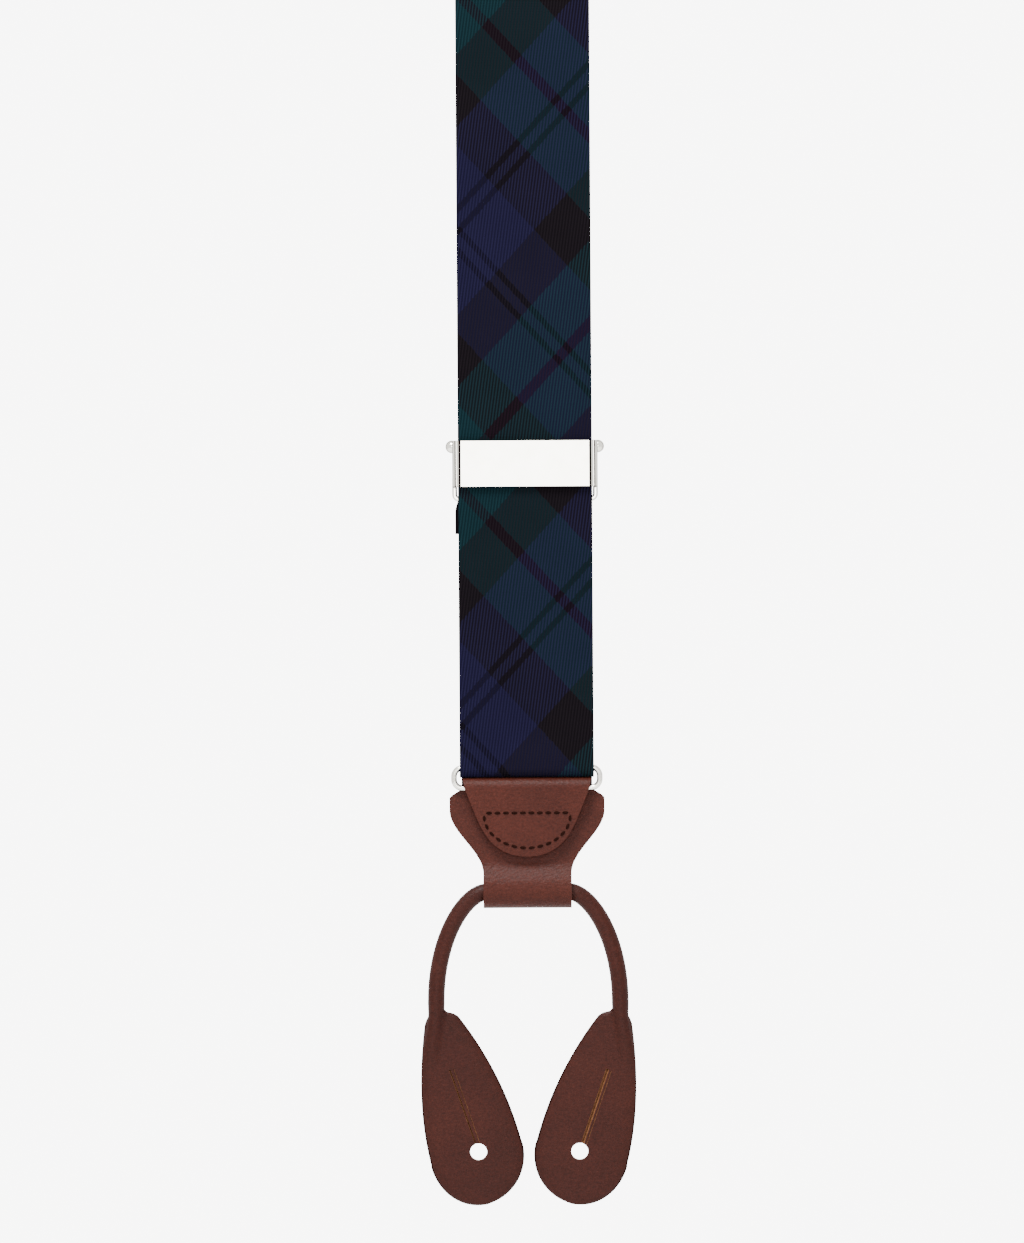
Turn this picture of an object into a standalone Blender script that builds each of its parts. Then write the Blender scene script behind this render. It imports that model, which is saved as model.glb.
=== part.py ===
"""Gentleman's dress suspenders: two ribbon straps, slides, rings, leather ends with button tabs, back shield.

The suspenders hang as worn, over two sloping shoulders. +X is the wearer's left as seen from the front,
+Y is towards the back, +Z is up. The origin is midway between the undersides of the two shoulder crossings.
"""

import math

import bmesh
import bpy
from mathutils import Matrix, Vector

# Ribbon and leather
RIBBON_WIDTH = 0.038
RIBBON_THICKNESS = 0.0014
LEATHER_THICKNESS = 0.0018
TOUCH_GAP = 0.0003

# How the pair hangs
SHOULDER_HALF_SPACING = 0.183
SHOULDER_RADIUS = 0.026
SHOULDER_SLOPE = math.radians(15.0)
RING_DROP = 0.518
SLIDE_HEIGHT = 0.089
TRAVEL_UP = 0.100
RUN_LENGTH = TRAVEL_UP + 0.018
ELASTIC_LENGTH = 0.100

# Ring
WIRE_DIAMETER = 0.0016
RING_PLAY = 0.0004
RING_CORNER = 0.0020

# Leather hanger
FOLD_HALF_WIDTH = RIBBON_WIDTH / 2 - 0.0005
SHIELD_FLARE = 0.0035
NECK_HALF_WIDTH = 0.0125
FLAP_LENGTH = 0.0194
FLAP_SLANT = 0.45
TUNNEL_DROP = 0.0324
TUNNEL_OFFSET = 0.0008
TAIL_LENGTH = 0.0105

# Runner: rolled middle and two flat tabs
ROLL_DIAMETER = 0.0048
ROLL_HALF_SPAN = 0.0261
ROLL_DROP = 0.0662
TAB_THICKNESS = 0.0020
TAB_LENGTH = 0.0565
TAB_WIDTH = 0.0252
TAB_TOP_WIDTH = 0.0064
TAB_SHOULDER = 0.0012
TAB_FULLNESS = 0.11
TAB_LEAN = math.radians(14.5)
BUTTONHOLE_RADIUS = 0.0024
BUTTONHOLE_DOWN = 0.0415
BUTTONHOLE_INWARD = 0.0014
SLIT_LENGTH = 0.0245
SLIT_WIDTH = 0.0008
SLIT_LEAN = math.radians(4.5)
RIDGE_LENGTH = 0.016
RIDGE_OUTWARD = 0.0030

# Slide adjuster
PLATE_HEIGHT = 0.0131
PLATE_THICKNESS = 0.0012
PLATE_BEND = 0.0012
CHEEK_GAP = 0.0004
PIN_DIAMETER = 0.0016
PIN_HEAD_DIAMETER = 0.0036
PIN_HEAD_LENGTH = 0.0018
PIN_RUNNING_GAP = 0.00005
PIN_BACK = 0.0026
PIN_DOWN = 0.0016
SLEEVE_WALL = 0.0006
LEVER_THICKNESS = 0.0010
LEVER_LENGTH = 0.0112
BAIL_WIRE = 0.0014
BAIL_DROP = 0.0098

# Back shield
SHIELD_DROP = 0.046
SHIELD_COVER = 0.020

RING_REACH = WIRE_DIAMETER / 2 + TOUCH_GAP
RUN_OFFSET = RING_REACH + RIBBON_THICKNESS / 2
FOLD_OFFSET = RING_REACH + LEATHER_THICKNESS / 2
BAR_SPACING = WIRE_DIAMETER + RIBBON_THICKNESS + LEATHER_THICKNESS + 2 * TOUCH_GAP + RING_PLAY
RING_HALF_WIDTH = RIBBON_WIDTH / 2 + RING_CORNER * 0.85
CHEEK_INNER = RIBBON_WIDTH / 2 + CHEEK_GAP
TUNNEL_RADIUS = ROLL_DIAMETER / 2 + TOUCH_GAP + LEATHER_THICKNESS / 2
BAIL_REACH = BAIL_WIRE / 2 + TOUCH_GAP + RIBBON_THICKNESS / 2
CHEEK_BACK = 2 * RUN_OFFSET + BAIL_REACH - BAIL_WIRE / 2 - TOUCH_GAP
RIBBON_PLANE = SHOULDER_RADIUS

MATERIALS = {
    "ribbon": ((0.022, 0.030, 0.045), 0.65, 0.0),
    "elastic": ((0.020, 0.020, 0.024), 0.75, 0.0),
    "leather": ((0.115, 0.034, 0.022), 0.45, 0.0),
    "lining": ((0.20, 0.10, 0.055), 0.70, 0.0),
    "silver": ((0.86, 0.84, 0.80), 0.12, 1.0),
}


def start():
    """Clear the file and make the two collections."""
    for thing in list(bpy.data.objects):
        bpy.data.objects.remove(thing, do_unlink=True)
    for name in ("suspenders", "cutters"):
        collection = bpy.data.collections.new(name)
        bpy.context.scene.collection.children.link(collection)
    bpy.data.collections["cutters"].hide_render = True


def material_of(node, kind):
    """A material of the node's own."""
    colour, roughness, metallic = MATERIALS[kind]
    material = bpy.data.materials.new(node)
    material.use_nodes = True
    shader = material.node_tree.nodes["Principled BSDF"]
    shader.inputs["Base Color"].default_value = (*colour, 1.0)
    shader.inputs["Roughness"].default_value = roughness
    shader.inputs["Metallic"].default_value = metallic
    return material


def add_object(name, mesh, kind):
    """Link a mesh as one named sub-part."""
    thing = bpy.data.objects.new(name, mesh)
    bpy.data.collections["suspenders"].objects.link(thing)
    thing.data.materials.append(material_of(name, kind))
    thing.data.shade_smooth()
    thing.data.set_sharp_from_angle(angle=math.radians(40))
    return thing


def cutter(name, mesh):
    """A shape that is only taken away from others."""
    thing = bpy.data.objects.new(name, mesh)
    bpy.data.collections["cutters"].objects.link(thing)
    thing.hide_render = True
    thing.display_type = "WIRE"
    return thing


def combine(thing, other, operation):
    """An exact Boolean with another object."""
    step = thing.modifiers.new(operation.lower(), "BOOLEAN")
    step.operation = operation
    step.object = other
    step.solver = "EXACT"


def settle(thing):
    """Turn the modifiers into the object's mesh."""
    bpy.context.view_layer.update()
    evaluated = thing.evaluated_get(bpy.context.evaluated_depsgraph_get())
    mesh = bpy.data.meshes.new_from_object(evaluated)
    thing.modifiers.clear()
    thing.data = mesh


def sheet(name, rows, columns, place, thickness, kind):
    """A bent sheet: a grid whose points place(row, across) gives, thickened about its middle."""
    mesh = bpy.data.meshes.new(name)
    net = bmesh.new()
    bmesh.ops.create_grid(net, x_segments=rows, y_segments=columns, size=1.0)
    for point in net.verts:
        row = round((point.co.x + 1.0) / 2.0 * rows)
        across = point.co.y
        point.co = place(row, across)
    net.to_mesh(mesh)
    net.free()
    thing = add_object(name, mesh, kind)
    skin = thing.modifiers.new("thickness", "SOLIDIFY")
    skin.thickness = thickness
    skin.offset = 0.0
    skin.use_even_offset = True
    return thing


def solid_from_curve(name, curve):
    """The closed mesh of a curve, welded at its caps."""
    holder = bpy.data.objects.new(name, curve)
    bpy.context.scene.collection.objects.link(holder)
    bpy.context.view_layer.update()
    evaluated = holder.evaluated_get(bpy.context.evaluated_depsgraph_get())
    mesh = bpy.data.meshes.new_from_object(evaluated)
    mesh.transform(holder.matrix_world)
    bpy.data.objects.remove(holder, do_unlink=True)
    net = bmesh.new()
    net.from_mesh(mesh)
    bmesh.ops.remove_doubles(net, verts=net.verts, dist=0.000005)
    bmesh.ops.recalc_face_normals(net, faces=net.faces)
    net.to_mesh(mesh)
    net.free()
    return mesh


def tube_mesh(name, points, radii, closed=False):
    """A round tube through points, its radius given at each."""
    curve = bpy.data.curves.new(name, "CURVE")
    curve.dimensions = "3D"
    curve.bevel_depth = 1.0
    curve.bevel_resolution = 3
    curve.use_fill_caps = not closed
    line = curve.splines.new("POLY")
    line.points.add(len(points) - 1)
    for entry, point, radius in zip(line.points, points, radii):
        entry.co = (*point, 1.0)
        entry.radius = radius
    line.use_cyclic_u = closed
    return solid_from_curve(name, curve)


def flat_mesh(name, outline, thickness):
    """A flat plate in the XZ plane, its middle at y = 0, with softened edges."""
    soft = thickness * 0.2
    curve = bpy.data.curves.new(name, "CURVE")
    curve.dimensions = "2D"
    curve.fill_mode = "BOTH"
    curve.extrude = thickness / 2 - soft
    curve.bevel_depth = soft
    curve.bevel_resolution = 0
    curve.offset = -soft
    line = curve.splines.new("POLY")
    line.points.add(len(outline) - 1)
    for entry, (x, z) in zip(line.points, outline):
        entry.co = (x, z, 0.0, 1.0)
    line.use_cyclic_u = True
    mesh = solid_from_curve(name, curve)
    mesh.transform(Matrix.Rotation(math.radians(90), 4, "X"))
    return mesh


def cylinder_mesh(name, radius, length, axis, centre=(0.0, 0.0, 0.0), segments=24):
    """A round bar along X, Y or Z."""
    turn = {"X": Matrix.Rotation(math.radians(90), 4, "Y"), "Y": Matrix.Rotation(math.radians(90), 4, "X")}
    mesh = bpy.data.meshes.new(name)
    net = bmesh.new()
    matrix = Matrix.Translation(centre) @ turn.get(axis, Matrix())
    bmesh.ops.create_cone(
        net, cap_ends=True, segments=segments, radius1=radius, radius2=radius, depth=length, matrix=matrix
    )
    net.to_mesh(mesh)
    net.free()
    return mesh


def box_mesh(name, size, centre):
    """A rectangular block."""
    mesh = bpy.data.meshes.new(name)
    net = bmesh.new()
    bmesh.ops.create_cube(net, size=1.0, matrix=Matrix.Translation(centre) @ Matrix.Diagonal((*size, 1.0)))
    net.to_mesh(mesh)
    net.free()
    return mesh


def arc(centre, radius, start_angle, end_angle, steps):
    """Points on an arc in the (y, z) plane, angles from +y towards +z."""
    points = []
    for step in range(steps + 1):
        angle = start_angle + (end_angle - start_angle) * step / steps
        points.append((centre[0] + radius * math.cos(angle), centre[1] + radius * math.sin(angle)))
    return points


def line(start_point, end_point, steps):
    """Points from one (y, z) point to another, without the last."""
    return [
        (
            start_point[0] + (end_point[0] - start_point[0]) * step / steps,
            start_point[1] + (end_point[1] - start_point[1]) * step / steps,
        )
        for step in range(steps)
    ]


# ---------------------------------------------------------------- shoulders and back


def strap_frame(side):
    """The tilted shoulder cylinder of one side: its centre, its axis and the way across it."""
    along = Vector((side * math.cos(SHOULDER_SLOPE), 0.0, -math.sin(SHOULDER_SLOPE)))
    across = Vector((side * math.sin(SHOULDER_SLOPE), 0.0, math.cos(SHOULDER_SLOPE)))
    half_turn = math.pi * SHOULDER_RADIUS / 2
    crest = half_turn * math.tan(SHOULDER_SLOPE) * math.sin(SHOULDER_SLOPE)
    rise = (SHOULDER_RADIUS - RIBBON_THICKNESS / 2) * math.cos(SHOULDER_SLOPE)
    centre = Vector((side * SHOULDER_HALF_SPACING, 0.0, -crest - rise))
    return centre, along, across


def strap_point(side, distance, width):
    """A point of the ribbon's middle surface, distance from the front of the shoulder towards the back."""
    centre, along, across = strap_frame(side)
    slope = SHOULDER_SLOPE
    unrolled = distance * math.cos(slope) + width * math.sin(slope)
    shift = -distance * math.sin(slope) + width * math.cos(slope)
    half_way = math.pi * SHOULDER_RADIUS
    base = centre + along * shift
    if unrolled < 0.0:
        return base + across * unrolled + Vector((0.0, -SHOULDER_RADIUS, 0.0))
    if unrolled > half_way:
        return base - across * (unrolled - half_way) + Vector((0.0, SHOULDER_RADIUS, 0.0))
    angle = unrolled / SHOULDER_RADIUS
    radial = across * math.sin(angle) + Vector((0.0, -math.cos(angle), 0.0))
    return base + radial * SHOULDER_RADIUS


def back_end_distance():
    """How far along the ribbon its back end lies, where its inner corner nears the middle."""
    lean = 2 * SHOULDER_SLOPE
    stop = RIBBON_WIDTH / 2 * math.cos(lean) + 0.0008
    half_way = math.pi * SHOULDER_RADIUS
    return (SHOULDER_HALF_SPACING + half_way * math.sin(SHOULDER_SLOPE) - stop) / math.sin(lean)


def front_distance(height):
    """Distance along the ribbon, below the shoulder, of a height on its front."""
    return height - strap_frame(1)[0].z


def ribbon_rows():
    """Distances of the ribbon's rows: sparse on the flats, close together over the shoulder."""
    margin = RIBBON_WIDTH / 2 * math.tan(SHOULDER_SLOPE) + 0.004
    wrap = math.pi * SHOULDER_RADIUS / math.cos(SHOULDER_SLOPE)
    low = front_distance(-RING_DROP + RUN_LENGTH)
    high = back_end_distance()
    rows = [low + (-margin - low) * step / 8 for step in range(8)]
    rows += [-margin + (wrap + 2 * margin) * step / 44 for step in range(44)]
    rows += [wrap + margin + (high - wrap - margin) * step / 8 for step in range(9)]
    return rows


def ribbon(side, name):
    rows = ribbon_rows()

    def place(row, across):
        return strap_point(side, rows[row], across * RIBBON_WIDTH / 2)

    return sheet(name, len(rows) - 1, 10, place, RIBBON_THICKNESS, "ribbon")


def shield_outline():
    """The back shield, roof-shaped where the two straps enter, narrow where the elastic leaves."""
    lean = 2 * SHOULDER_SLOPE
    end = strap_point(1, back_end_distance(), 0.0)
    middle = Vector((end.x, end.z)) + Vector((math.sin(lean), math.cos(lean))) * SHIELD_COVER
    out = Vector((math.cos(lean), -math.sin(lean)))
    corner = middle + out * (RIBBON_WIDTH / 2 + 0.0025)
    peak = middle - out * (middle.x / math.cos(lean))
    foot_half = RIBBON_WIDTH / 2 + 0.0020
    foot = end.z - SHIELD_DROP
    right = [(0.0, peak.y - 0.003), (peak.x + 0.004, peak.y - 0.0038)]
    right += [(corner.x - 0.002, corner.y + 0.0008), (corner.x, corner.y - 0.0015)]
    for step in range(1, 12):
        part = step / 12
        bend = (1 - part) ** 2.2
        right.append((foot_half + (corner.x - foot_half) * bend, corner.y + (foot - corner.y) * part))
    right += [(foot_half, foot + 0.002), (foot_half - 0.002, foot)]
    left = [(-x, z) for x, z in reversed(right[1:])]
    return right + left


def back_shield():
    layer = RIBBON_THICKNESS / 2 + TOUCH_GAP + LEATHER_THICKNESS / 2
    for name, kind, offset in (("shield_outer", "leather", layer), ("shield_lining", "lining", -layer)):
        plate = add_object(name, flat_mesh(name, shield_outline(), LEATHER_THICKNESS), kind)
        plate.location = (0.0, RIBBON_PLANE + offset, 0.0)


# ---------------------------------------------------------------- one leather end


def put(thing, end, point):
    """Move an object's origin to a point of its end, and place it with that end."""
    place, turn = end
    offset = Vector(point)
    thing.data.transform(Matrix.Translation(-offset))
    thing.rotation_euler = (0.0, 0.0, turn)
    thing.location = Vector(place) + Matrix.Rotation(turn, 3, "Z") @ offset


def ring(end, name):
    """The oval wire ring, its origin on its top bar."""
    half_height = BAR_SPACING / 2
    points = []
    corners = ((1, 1, 0), (-1, 1, 90), (-1, -1, 180), (1, -1, 270))
    for across, up, first in corners:
        for step in range(9):
            angle = math.radians(first + 90 * step / 8)
            x = across * (RING_HALF_WIDTH - RING_CORNER) + RING_CORNER * math.cos(angle)
            z = up * (half_height - RING_CORNER) + RING_CORNER * math.sin(angle)
            points.append((x, 0.0, z))
    mesh = tube_mesh(name, points, [WIRE_DIAMETER / 2] * len(points), closed=True)
    thing = add_object(name, mesh, "silver")
    put(thing, end, (0.0, 0.0, half_height))


def ease(value):
    """A smooth step from 0 to 1."""
    value = min(max(value, 0.0), 1.0)
    return value * value * (3 - 2 * value)


def hanger_path():
    """The hanger strip from the flap's tip, over the ring's lower bar, down to the tunnel and up its tail."""
    bar = -BAR_SPACING / 2
    tunnel = (TUNNEL_OFFSET, -TUNNEL_DROP)
    flap_tip = (-FOLD_OFFSET, bar - FLAP_LENGTH)
    behind_tip = (-FOLD_OFFSET + LEATHER_THICKNESS + TOUCH_GAP + 0.0002, flap_tip[1] - 0.001)
    tunnel_front = (tunnel[0] - TUNNEL_RADIUS, tunnel[1] + 0.0025)
    points = line(flap_tip, (-FOLD_OFFSET, bar), 16)
    points += arc((0.0, bar), FOLD_OFFSET, math.pi, 0.0, 12)
    points += line((FOLD_OFFSET, bar - 0.0006), behind_tip, 14)
    points += line(behind_tip, tunnel_front, 5)
    points += arc(tunnel, TUNNEL_RADIUS, math.pi, 2 * math.pi, 14)
    tail_top = (behind_tip[0] + LEATHER_THICKNESS + TOUCH_GAP + 0.0004, tunnel[1] + TAIL_LENGTH)
    points += line((tunnel[0] + TUNNEL_RADIUS, tunnel[1] + 0.0008), tail_top, 5)
    points.append(tail_top)
    return points


def hanger_half_width(row, height):
    """Half the strip's width at a row: half-round flap, fold, shield, then the straight neck."""
    bar = -BAR_SPACING / 2
    if row <= 16:
        part = min(max((bar - height) / FLAP_LENGTH, 0.0), 1.0)
        slanted = FOLD_HALF_WIDTH - FLAP_SLANT * FLAP_LENGTH * part
        return slanted * (1 - part**6) ** 0.5 + 0.0008 * part
    if row <= 28:
        return FOLD_HALF_WIDTH
    drop = bar - height
    wide = FOLD_HALF_WIDTH + SHIELD_FLARE * ease(drop / 0.0030)
    return wide + (NECK_HALF_WIDTH - wide) * ease((drop - 0.0065) / 0.0175)


def hanger(end, name):
    path = hanger_path()

    def place(row, across):
        y, z = path[row]
        return Vector((across * hanger_half_width(row, z), y, z))

    thing = sheet(name, len(path) - 1, 12, place, LEATHER_THICKNESS, "leather")
    settle(thing)
    put(thing, end, (0.0, 0.0, -BAR_SPACING / 2))


def roll(end, name):
    """The rolled leather cord through the tunnel, its two ends turned down."""
    straight = NECK_HALF_WIDTH - 0.0005
    reach = ROLL_HALF_SPAN - straight
    fall = ROLL_DROP - TUNNEL_DROP - ROLL_DIAMETER / 2 - TOUCH_GAP
    quarter = []
    for step in range(21):
        angle = math.radians(90 * step / 20)
        x = straight + reach * math.sin(angle) ** 1.2
        quarter.append((x, TUNNEL_OFFSET, -TUNNEL_DROP - fall * (1 - math.cos(angle))))
    points = [(-x, y, z) for x, y, z in reversed(quarter)] + quarter
    mesh = tube_mesh(name, points, [ROLL_DIAMETER / 2] * len(points))
    thing = add_object(name, mesh, "leather")
    put(thing, end, (0.0, TUNNEL_OFFSET, -TUNNEL_DROP))


def tab_outline(side):
    """A button tab, pointing down from the roll's end: narrow shoulders, fuller inward, and a broad round foot."""
    full = TAB_WIDTH / 2
    top = TAB_TOP_WIDTH / 2
    middle = TAB_LENGTH * 0.745
    edge = []
    for step in range(15):
        part = step / 14
        edge.append((top + (full - top) * math.sin(math.pi / 2 * part) ** 0.9, -middle * part))
    for step in range(1, 14):
        angle = math.radians(90 * step / 14)
        edge.append((full * math.cos(angle), -middle - (TAB_LENGTH - middle) * math.sin(angle)))
    edge.append((0.0, -TAB_LENGTH))
    whole = edge + [(-x, z) for x, z in reversed(edge[:-1])]
    outline = []
    for x, z in whole:
        if x * side < 0.0:
            x = x * (1 + TAB_FULLNESS) - side * TAB_SHOULDER * (1 - ease(-z / (TAB_LENGTH * 0.7)))
        outline.append((x, z - 0.0008))
    return outline


def tab(end, name, side):
    """One button tab with the flattening end of the roll on it and a keyhole buttonhole."""
    thing = add_object(name, flat_mesh(name, tab_outline(side), TAB_THICKNESS), "leather")
    start_radius = ROLL_DIAMETER / 2
    count = 12
    points = [(0.0, 0.0, 0.0)]
    radii = [start_radius * 0.97]
    for step in range(1, count + 1):
        part = step / count
        points.append((side * RIDGE_OUTWARD * part, 0.0, -RIDGE_LENGTH * part))
        radii.append(start_radius * (1 - part * part) + TAB_THICKNESS * 0.42 * part * part)
    ridge = cutter(name + "_ridge", tube_mesh(name + "_ridge", points, radii))
    ball = bpy.data.meshes.new(name + "_ball")
    net = bmesh.new()
    bmesh.ops.create_uvsphere(net, u_segments=20, v_segments=12, radius=start_radius)
    net.to_mesh(ball)
    net.free()
    round_top = cutter(name + "_round_top", ball)
    keyhole = Matrix.Translation((-side * BUTTONHOLE_INWARD, 0.0, -BUTTONHOLE_DOWN))
    keyhole @= Matrix.Rotation(side * SLIT_LEAN, 4, "Y")
    hole_mesh = cylinder_mesh(name + "_hole", BUTTONHOLE_RADIUS, 0.01, "Y")
    slit_mesh = box_mesh(name + "_slit", (SLIT_WIDTH, 0.01, SLIT_LENGTH), (0.0, 0.0, SLIT_LENGTH / 2))
    for mesh in (hole_mesh, slit_mesh):
        mesh.transform(keyhole)
    hole = cutter(name + "_hole", hole_mesh)
    slit = cutter(name + "_slit", slit_mesh)
    combine(thing, ridge, "UNION")
    combine(thing, round_top, "UNION")
    combine(thing, hole, "DIFFERENCE")
    combine(thing, slit, "DIFFERENCE")
    settle(thing)
    thing.data.transform(Matrix.Rotation(side * TAB_LEAN, 4, "Y"))
    hinge = Vector((side * ROLL_HALF_SPAN, TUNNEL_OFFSET, -ROLL_DROP))
    thing.data.transform(Matrix.Translation(hinge))
    put(thing, end, hinge)


def leather_end(label, place, turn):
    """Ring, hanger and runner, hung at the ring's middle."""
    end = (place, turn)
    ring(end, f"{label}_ring")
    hanger(end, f"{label}_hanger")
    roll(end, f"{label}_runner_roll")
    tab(end, f"{label}_tab_left", -1)
    tab(end, f"{label}_tab_right", 1)


# ---------------------------------------------------------------- ribbon and elastic at the ring


def loop_rows(top_front):
    """(y, z) points down the front of the ring's top bar, around under it and just up behind."""
    bar = (0.0, BAR_SPACING / 2)
    points = line((-RUN_OFFSET, top_front), (-RUN_OFFSET, bar[1]), 6)
    points += arc(bar, RUN_OFFSET, math.pi, 2 * math.pi, 14)
    return points


def sheet_on_path(end, name, path, kind):
    """A strip of ribbon width that follows a path in the (y, z) plane of its end."""

    def position(row, across):
        y, z = path[row]
        return Vector((across * RIBBON_WIDTH / 2, y, z))

    thing = sheet(name, len(path) - 1, 6, position, RIBBON_THICKNESS, kind)
    put(thing, end, (0.0, 0.0, BAR_SPACING / 2))
    return thing


def front_run(end, label):
    """The lower run of the ribbon, through the slide and around the ring, and its return to the bail."""
    path = loop_rows(RUN_LENGTH - TOUCH_GAP)
    sheet_on_path(end, f"{label}_ribbon_run", path, "ribbon")
    bail = (RUN_OFFSET + BAIL_REACH, SLIDE_HEIGHT - BAIL_DROP)
    path = line((RUN_OFFSET, BAR_SPACING / 2 + TOUCH_GAP), (RUN_OFFSET, bail[1]), 6)
    path += arc(bail, BAIL_REACH, math.pi, 0.0, 12)
    path += line((bail[0] + BAIL_REACH, bail[1] - 0.0004), (bail[0] + BAIL_REACH, bail[1] - 0.011), 3)
    path.append((bail[0] + BAIL_REACH, bail[1] - 0.011))
    sheet_on_path(end, f"{label}_ribbon_return", path, "ribbon")


def elastic_leg(end, height):
    """The elastic leg from inside the back shield, around the back ring, its end turned up behind."""
    path = loop_rows(height)
    path += [(RUN_OFFSET, BAR_SPACING / 2 + 0.028 * step / 3) for step in range(1, 4)]
    sheet_on_path(end, "elastic_leg", path, "elastic")


# ---------------------------------------------------------------- slide adjuster


def slide_local(depth, height):
    """A (y, z) point of the slide in its end's frame: depth behind the ribbon, height from the plate's middle."""
    return -RUN_OFFSET + depth, SLIDE_HEIGHT + height


def slide_plate(end, name):
    """The front plate with its two cheeks turned back beside the ribbon."""
    front = -RIBBON_THICKNESS / 2 - TOUCH_GAP - PLATE_THICKNESS / 2
    cheek = CHEEK_INNER + PLATE_THICKNESS / 2
    side = [(cheek, CHEEK_BACK), (cheek, CHEEK_BACK / 2)]
    for step in range(9):
        angle = math.radians(90 * step / 8)
        x = cheek - PLATE_BEND * (1 - math.cos(angle))
        y = front + PLATE_BEND * (1 - math.sin(angle))
        side.append((x, y))
    path = side + [(0.0, front)] + [(-x, y) for x, y in reversed(side)]
    middle = slide_local(0.0, 0.0)

    def place(row, across):
        x, y = path[row]
        return Vector((x, middle[0] + y, middle[1] + across * PLATE_HEIGHT / 2))

    thing = sheet(name, len(path) - 1, 4, place, PLATE_THICKNESS, "silver")
    pin = slide_local(PIN_BACK, PLATE_HEIGHT / 2 - PIN_DOWN)
    bore = cylinder_mesh(name + "_bore", PIN_DIAMETER / 2 + PIN_RUNNING_GAP, 0.08, "X", (0.0, *pin), 32)
    combine(thing, cutter(name + "_bore", bore), "DIFFERENCE")
    settle(thing)
    put(thing, end, (0.0, *middle))


def slide_pin(end, name):
    """The hinge pin, its two round heads outside the cheeks."""
    pin = slide_local(PIN_BACK, PLATE_HEIGHT / 2 - PIN_DOWN)
    outer = CHEEK_INNER + PLATE_THICKNESS + PIN_RUNNING_GAP
    length = 2 * (outer + PIN_HEAD_LENGTH)
    thing = add_object(name, cylinder_mesh(name, PIN_DIAMETER / 2, length, "X", (0.0, *pin), 32), "silver")
    for side in (-1, 1):
        centre = (side * (outer + PIN_HEAD_LENGTH / 2), *pin)
        head = cylinder_mesh(name + "_head", PIN_HEAD_DIAMETER / 2, PIN_HEAD_LENGTH, "X", centre, 32)
        combine(thing, cutter(f"{name}_head_{side}", head), "UNION")
    settle(thing)
    put(thing, end, (0.0, *pin))


def slide_lever(end, name):
    """The clamp lever: a sleeve on the pin, a plate behind the ribbon and a nose that grips it."""
    pin = slide_local(PIN_BACK, PLATE_HEIGHT / 2 - PIN_DOWN)
    width = 2 * (CHEEK_INNER - TOUCH_GAP)
    inner = PIN_DIAMETER / 2 + PIN_RUNNING_GAP
    thing = add_object(name, cylinder_mesh(name, inner + SLEEVE_WALL, width, "X", (0.0, *pin), 32), "silver")
    plate_centre = (0.0, pin[0], pin[1] - LEVER_LENGTH / 2)
    plate = box_mesh(name + "_plate", (width - 0.002, LEVER_THICKNESS, LEVER_LENGTH), plate_centre)
    ribbon_back = slide_local(RIBBON_THICKNESS / 2 + TOUCH_GAP, 0.0)[0]
    nose_depth = pin[0] - ribbon_back
    nose_centre = (0.0, ribbon_back + nose_depth / 2, pin[1] - inner - SLEEVE_WALL * 1.5)
    nose = box_mesh(name + "_nose", (width - 0.002, nose_depth, 0.0012), nose_centre)
    lip = cylinder_mesh(
        name + "_lip", LEVER_THICKNESS * 0.8, width - 0.006, "X", (0.0, pin[0], pin[1] - LEVER_LENGTH)
    )
    bore = cylinder_mesh(name + "_bore", inner, 0.08, "X", (0.0, *pin), 32)
    for label, mesh in (("plate", plate), ("nose", nose), ("lip", lip)):
        combine(thing, cutter(f"{name}_{label}", mesh), "UNION")
    combine(thing, cutter(f"{name}_bore", bore), "DIFFERENCE")
    settle(thing)
    put(thing, end, (0.0, *pin))


def slide_bail(end, name):
    """The wire bail below the slide, around which the ribbon's end is sewn."""
    y = RUN_OFFSET + BAIL_REACH
    z = SLIDE_HEIGHT - BAIL_DROP
    half = CHEEK_INNER + PLATE_THICKNESS / 2
    corner = 0.0012
    right = [(half, y, z + BAIL_DROP * 0.6), (half, y, z + 0.004), (half, y, z + corner)]
    for step in range(1, 7):
        angle = math.radians(90 * step / 6)
        right.append((half - corner * (1 - math.cos(angle)), y, z + corner * (1 - math.sin(angle))))
    points = right + [(-x, y, z) for x, y, z in reversed(right)]
    mesh = tube_mesh(name, points, [BAIL_WIRE / 2] * len(points))
    thing = add_object(name, mesh, "silver")
    put(thing, end, (0.0, *slide_local(0.0, 0.0)))


def slide(label, place):
    end = (place, 0.0)
    slide_plate(end, f"{label}_slide_plate")
    slide_pin(end, f"{label}_slide_pin")
    slide_lever(end, f"{label}_slide_lever")
    slide_bail(end, f"{label}_slide_bail")


def build():
    start()
    for label, side in (("left", 1), ("right", -1)):
        ribbon(side, f"{label}_ribbon")
        place = (side * SHOULDER_HALF_SPACING, -RIBBON_PLANE + RUN_OFFSET, -RING_DROP)
        leather_end(label, place, 0.0)
        front_run((place, 0.0), label)
        slide(label, place)
    back_shield()
    strap_end = strap_point(1, back_end_distance(), 0.0).z
    elastic_top = strap_end - RIBBON_WIDTH / 2 * math.sin(2 * SHOULDER_SLOPE) - 0.002
    height = ELASTIC_LENGTH
    place = (0.0, RIBBON_PLANE - RUN_OFFSET, elastic_top - height)
    leather_end("back", place, math.pi)
    elastic_leg((place, math.pi), height)


build()
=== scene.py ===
# %% [markdown]
# # Dress suspenders: ribbon, silver, leather
#
# The CAD frame holds the solids, sizes and joints of a pair of button-on suspenders, hung as over two
# shoulders. This script makes what is seen: silk ribbon in a dark tartan, polished slides and rings,
# and sewn leather ends. Rings, hangers, slide faces, hinge pins and stitches ride with the CAD body
# they belong to.

import math

import bmesh
import bpy
from mathutils import Matrix, Vector


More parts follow.
